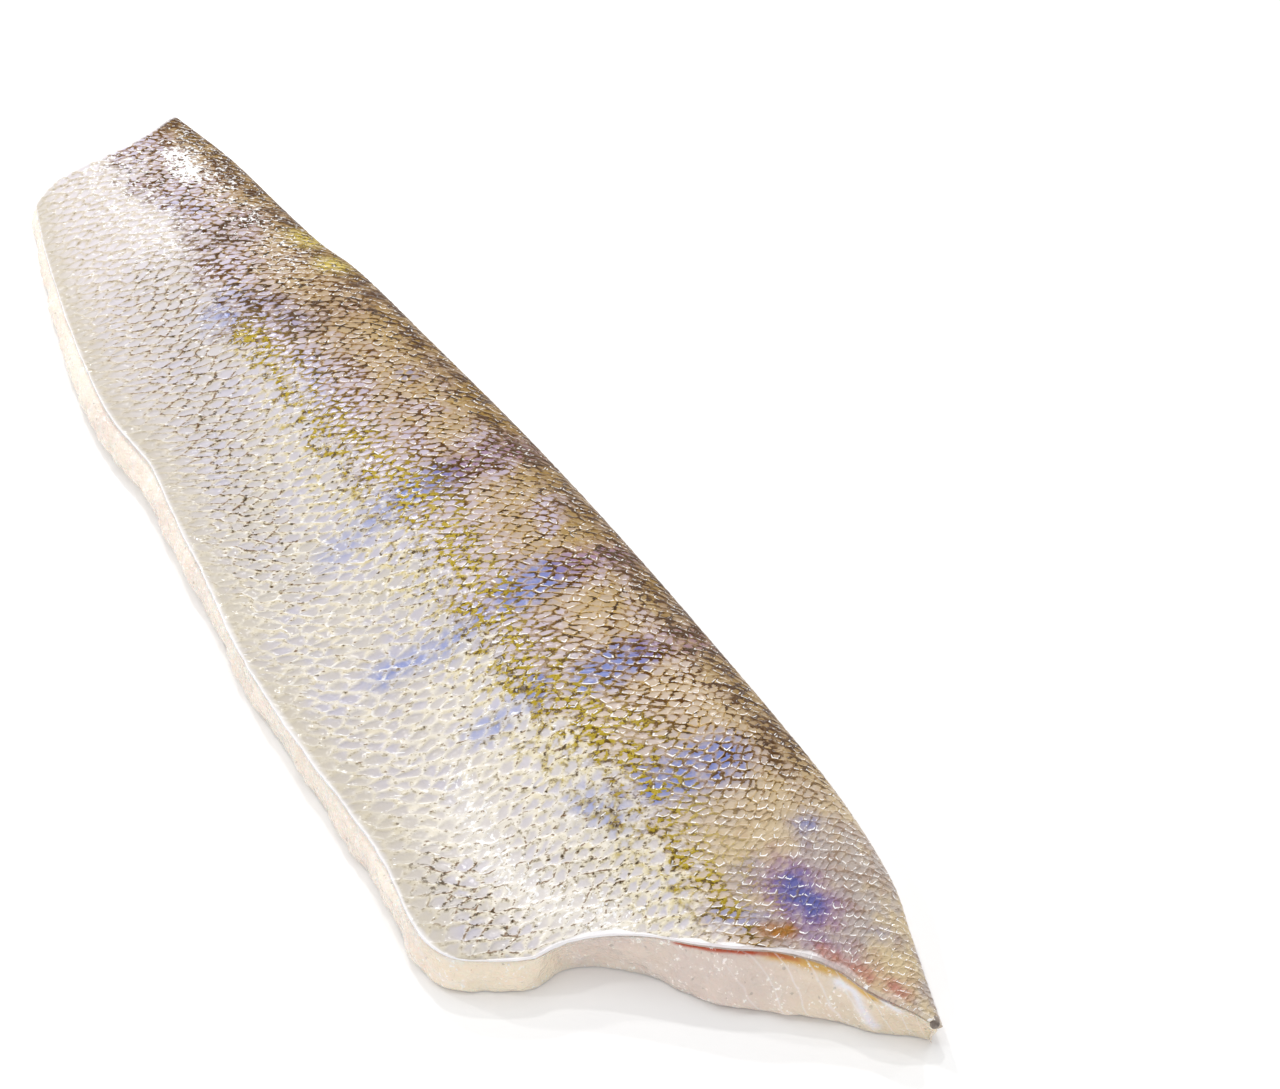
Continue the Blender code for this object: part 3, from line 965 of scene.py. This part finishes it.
def scale_lattice(points, up):
    """Place of each point among the scale pockets, one pocket to each step of 1."""
    x = points[:, 0]
    stops = np.linspace(-0.52 * LENGTH, 0.52 * LENGTH, 400)
    lengths = along_fish(stops, POCKET_LENGTHS)
    grown = np.interp(x, stops, np.cumsum((stops[1] - stops[0]) / lengths))
    shift = 0.9 * np.sin(up / 7.0 + 1.0) + 0.9 * np.sin(up / 13.0 + x / 31.0)
    levels = np.linspace(-45, 60, 300)
    for leans, reach in (
        (FLANK_LEANS, step_up(-levels, -2, 12)), (MIDDLE_LEANS, np.exp(-(((levels - 4) / 7) ** 2))),
        (BACK_LEANS, step_up(levels, 8, 20)),
    ):
        risen = np.cumsum(reach) * (levels[1] - levels[0])
        risen -= np.interp(0, levels, risen)
        shift -= along_fish(x, leans) * np.interp(up, levels, risen)
    grown += shift / np.interp(x, stops, lengths)
    spread = (up - LATERAL_LINE + 0.9 * np.sin(x / 17.0)) / along_fish(x, POCKET_HALF_HEIGHTS)
    first = grown + 0.5 * spread + 0.20 * wobble(points, 4.5, 5) + 0.08 * wobble(points, 1.5, 6)
    second = grown - 0.5 * spread + 0.24 * wobble(points, 4.5, 7) + 0.10 * wobble(points, 1.5, 8)
    return np.stack([first, second, np.zeros_like(first)], -1)


def relief_tree(settings):
    """Geometry nodes that press the scale pockets into the skin."""
    tree = bpy.data.node_groups.new("Press scale pockets", "GeometryNodeTree")
    for way in ("INPUT", "OUTPUT"):
        tree.interface.new_socket("Geometry", in_out=way, socket_type="NodeSocketGeometry")
    nodes = Nodes(tree)

    def kept(name, kind="FLOAT"):
        return nodes.add("GeometryNodeInputNamedAttribute", {"Name": name}, data_type=kind).outputs[0]

    lattice = kept("scales", "FLOAT_VECTOR")
    presses = []
    for grid, depth in ((lattice, settings.pocket_depth), (finer(nodes, lattice), settings.back_depth)):
        raised = nodes.math("SUBTRACT", pocket_fields(nodes, grid)["Height"], 1.0)
        presses.append(nodes.times(raised, depth))
    press = nodes.times(nodes.between(nodes.fade(kept("rise"), -0.04, 0.18), *presses), kept("relief"))
    normal = nodes.add("GeometryNodeInputNormal").outputs[0]
    offset = nodes.add("ShaderNodeVectorMath", {0: normal, "Scale": press}, operation="SCALE").outputs[0]
    skin = nodes.add("NodeGroupInput").outputs[0]
    moved = nodes.add("GeometryNodeSetPosition", {"Geometry": skin, "Offset": offset})
    nodes.add("NodeGroupOutput", {0: moved.outputs[0]})
    return tree


class ZANDER_OT_add_skin(bpy.types.Operator):
    """Adds the scaled skin over the flesh"""

    bl_idname = "zander.add_skin"
    bl_label = "Add skin"

    def execute(self, context):
        settings = context.scene.zander_skin
        piece = add_block("fillet_skin", SKIN_STEPS, lambda face: face.normal.z > 0.5, 4)
        along, row, height = points_of(piece).T
        normals = facing(along, row)
        base = flesh_top(along, row)
        ragged = SKIN_RAGGEDNESS * (1 + wobble(base, 9.0, 9) + 0.6 * wobble(base, 2.5, 10))
        row = row + ragged / SECTION_LENGTH * (np.exp(-row * SIDE_FADE) - np.exp((row - 1) * SIDE_FADE))
        along = along - 0.6 * ragged / LENGTH * np.exp((along - 1) * HEAD_FADE)
        base = flesh_top(along, row)
        lift = HEAD_LIFT * step_up(along, 0.975, 1) * step_up(row, 0.25, 0.4) * step_up(-row, -0.95, -0.8)
        depth = SKIN_GAP * (0.2 + 0.8 * height) + SKIN_THICKNESS * height
        points = base + normals * (depth + lift)[:, None]
        bulge = RIM_BULGE * np.sin(math.pi * height)
        points[:, :2] += bulge[:, None] * edge_directions(along, row, 0.02)
        move_points(piece, points)
        up = walked_up(along, row)
        keep(piece, {"scales": scale_lattice(base, up)} | self.masks(along, row, height, base, up))
        piece.modifiers.new("pockets", "NODES").node_group = relief_tree(settings)
        finish_piece(piece, "skin", skin_material(settings))
        return {"FINISHED"}

    def masks(self, along, row, height, base, up):
        """The skin's colour marks, its rim and where the pockets fade out, from places in millimetres."""
        x, y = base[:, 0], base[:, 1]
        shoulder = step_up(row, 0.68, 0.88) * step_up(-x, -112, -85)
        pale = 1 - step_up(up - belly_edge(np.clip(along, 0, 1))[:, 1], 1.0, 10.0)
        sides = np.minimum(np.minimum(row, 1 - row) * SECTION_LENGTH, along * CUT_TO_CUT)
        frayed = 0.3 + 2.4 * wobble(base, 4.0, 14) * step_up(row, 0.1, 0.2)
        rim = 0.9 * (1 - step_up(np.minimum(sides, (1 - along) * CUT_TO_CUT - frayed), 0.3, 1.3))
        rim = np.where(height < 0.999, 1.0, rim)
        rim *= 1 - 0.8 * step_up(along, 0.97, 1) * step_up(row, 0.62, 0.75)
        masks = {name: bands(base[:, :2], table) for name, table in SKIN_MARKS.items()}
        return masks | {
            "rise": (up - along_fish(x, NET_LINE) - 0.8) / BACK_RISE,
            "shoulder": np.maximum(shoulder, bands(base[:, :2], TAIL_CORNER)),
            "tailwards": step_up(-x, -10, 80),
            "tail_end": step_up(-x, 75, 110),
            "headwards": step_up(x, 30, 75) * step_up(y, -34, -20),
            "nape": step_up(x - 0.35 * y, 74, 112) * step_up(y, 6, 12),
            "pale": pale,
            "rim": rim,
            "relief": np.where(height > 0.999, 1 - np.maximum(rim, 0.6 * pale), 0),
        }


# ---- nape tip


def nape_tip_material(settings):
    """Dark, slightly wet stub of the fin's root."""
    made, nodes, shader, place = new_material("dark nape tip")
    shade = nodes.fade(nodes.noise(place, 900.0, 2.0), 0.35, 0.65)
    colour = nodes.colour(shade, settings.tip_colour, tint(146, 134, 124))
    film = wet_film(nodes, place, 0.14, 0.40)
    finish_shader(nodes, shader, colour, film["Roughness"], film["Height"], 0.10, strength=0.8)
    return made


class NapeTipSettings(bpy.types.PropertyGroup):
    tip_radius: length_setting("Radius", "Half the length of the dark stub", 1.1, 0.2, 3)
    tip_colour: colour_setting("Colour", "Colour of the dark stub", 104, 92, 84)


class ZANDER_OT_add_nape_tip(bpy.types.Operator):
    """Adds the dark stub at the nape's corner of the skin"""

    bl_idname = "zander.add_nape_tip"
    bl_label = "Add nape tip"

    def execute(self, context):
        settings = context.scene.zander_nape_tip
        centre = flesh_top(np.array([0.998]), np.array([0.975]))[0] * MM + (0, 0, 0.7 * MM)
        bpy.ops.object.select_all(action="DESELECT")
        bpy.ops.mesh.primitive_uv_sphere_add(
            segments=40, ring_count=24, radius=settings.tip_radius, location=centre,
            rotation=(0, math.radians(30), math.radians(-40)), scale=(1.0, 0.8, 0.6),
        )
        piece = context.active_object
        piece.name = piece.data.name = "nape_tip"
        bpy.ops.object.transform_apply(location=True, rotation=True, scale=True)
        points = points_of(piece) / MM
        away = unit(points - centre / MM)
        move_points(piece, points + away * (0.08 * wobble(points, 1.4, 13))[:, None])
        finish_piece(piece, None, nape_tip_material(settings))
        return {"FINISHED"}


# ---- stage


CAMERA_PLACE = (0.32596, -0.14642, 0.3725)
CAMERA_HEADING = (-0.843, 0.538)
CAMERA_TILT = math.radians(46.0)  # below the horizon
CAMERA_LENS = 73.125
FLOOR_SIZE = 6.0
FLOOR_GAP = 0.2 * MM  # keeps the floor clear of the flat side

# Small bright lamps that make the wet surface glint: azimuth from +X and elevation in degrees, power.
SPARK_LAMPS = (
    (170, 42, 3.2), (205, 35, 2.2), (150, 60, 2.2), (120, 30, 2.2), (235, 50, 1.4), (95, 14, 1.8),
    (318, 12, 1.3), (300, 28, 0.7), (345, 20, 0.7),
)


class StageSettings(bpy.types.PropertyGroup):
    sky_strength: bpy.props.FloatProperty(
        name="Sky strength", description="Brightness of the soft light from all round", default=0.58, min=0
    )
    floor_colour: colour_setting("Floor", "Colour of the floor", 246, 246, 246)


def add_aimed(name, data, place, way):
    """Adds a lamp or a camera at a place, looking along a direction."""
    holder = bpy.data.objects.new(name, data)
    bpy.context.scene.collection.objects.link(holder)
    holder.location = place
    holder.rotation_euler = way.to_track_quat("-Z", "Y").to_euler()
    return holder


def add_lamp(name, place, size, power):
    """A round lamp that points at the origin."""
    lamp = bpy.data.lights.new(name, "AREA")
    lamp.shape = "DISK"
    lamp.size = size
    lamp.energy = power
    add_aimed(name, lamp, place, -place)


def floor_material(colour):
    """Dull, nearly white floor."""
    made, nodes, shader, place = new_material("pale floor")
    shade = nodes.fade(nodes.noise(place, 3.0, 2.0), 0.3, 0.7)
    nodes.feed(shader.inputs["Base Color"], nodes.colour(shade, colour, tint(250, 250, 250)))
    shader.inputs["Roughness"].default_value = 0.6
    shader.inputs["Specular IOR Level"].default_value = 0.2
    return made


class ZANDER_OT_set_stage(bpy.types.Operator):
    """Adds the floor, the lights and the camera"""

    bl_idname = "zander.set_stage"
    bl_label = "Set stage"

    def execute(self, context):
        scene, settings = context.scene, context.scene.zander_stage
        bpy.ops.object.select_all(action="DESELECT")
        bpy.ops.mesh.primitive_grid_add(
            x_subdivisions=20, y_subdivisions=20, size=FLOOR_SIZE, location=(0, 0, -FLOOR_GAP)
        )
        floor = context.active_object
        floor.name = "floor"
        floor.data.materials.append(floor_material(settings.floor_colour))
        floor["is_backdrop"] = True
        world = bpy.data.worlds.new("soft sky")
        world.use_nodes = True
        world.node_tree.nodes["Background"].inputs["Color"].default_value = (1, 1, 1, 1)
        world.node_tree.nodes["Background"].inputs["Strength"].default_value = settings.sky_strength
        scene.world = world
        add_lamp("overhead", Vector((-0.2, 0.1, 1.4)), 0.9, 4.0)
        for number, (azimuth, elevation, power) in enumerate(SPARK_LAMPS):
            turn, rise = math.radians(azimuth), math.radians(elevation)
            way = Vector((math.cos(turn) * math.cos(rise), math.sin(turn) * math.cos(rise), math.sin(rise)))
            add_lamp(f"spark_{number}", way * 1.3, 0.05, power)
        scene.view_settings.view_transform = "Standard"
        heading = Vector((*CAMERA_HEADING, 0)).normalized() * math.cos(CAMERA_TILT)
        look = Vector((heading.x, heading.y, -math.sin(CAMERA_TILT)))
        camera = add_aimed("camera", bpy.data.cameras.new("camera"), CAMERA_PLACE, look)
        camera.data.lens = CAMERA_LENS
        camera.data.clip_start = 0.01
        scene.camera = camera
        return {"FINISHED"}


PIECES = {
    "zander_flesh": (FleshSettings, ZANDER_OT_add_flesh),
    "zander_skin": (SkinSettings, ZANDER_OT_add_skin),
    "zander_nape_tip": (NapeTipSettings, ZANDER_OT_add_nape_tip),
    "zander_stage": (StageSettings, ZANDER_OT_set_stage),
}


class ZANDER_PT_fillet(bpy.types.Panel):
    """Lists the fillet's pieces in the sidebar"""

    bl_idname = "ZANDER_PT_fillet"
    bl_label = "Zander fillet"
    bl_space_type = "VIEW_3D"
    bl_region_type = "UI"
    bl_category = "Fillet"

    def draw(self, context):
        for name, (settings, operator) in PIECES.items():
            box = self.layout.box()
            for field in settings.__annotations__:
                box.prop(getattr(context.scene, name), field)
            box.operator(operator.bl_idname)


CLASSES = (*(made for pair in PIECES.values() for made in pair), ZANDER_PT_fillet)


def register():
    for made in CLASSES:
        bpy.utils.register_class(made)
    for name, (settings, _) in PIECES.items():
        setattr(bpy.types.Scene, name, bpy.props.PointerProperty(type=settings))


def unregister():
    for name in PIECES:
        delattr(bpy.types.Scene, name)
    for made in reversed(CLASSES):
        bpy.utils.unregister_class(made)


def main():
    register()
    bpy.ops.zander.add_flesh()
    bpy.ops.zander.add_skin()
    bpy.ops.zander.add_nape_tip()
    bpy.ops.zander.set_stage()
    boxes = {"cad": CAD_BOX, "visual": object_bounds()}
    {name: [list(corner) for corner in box] for name, box in boxes.items()}


if __name__ == "__main__":
    main()
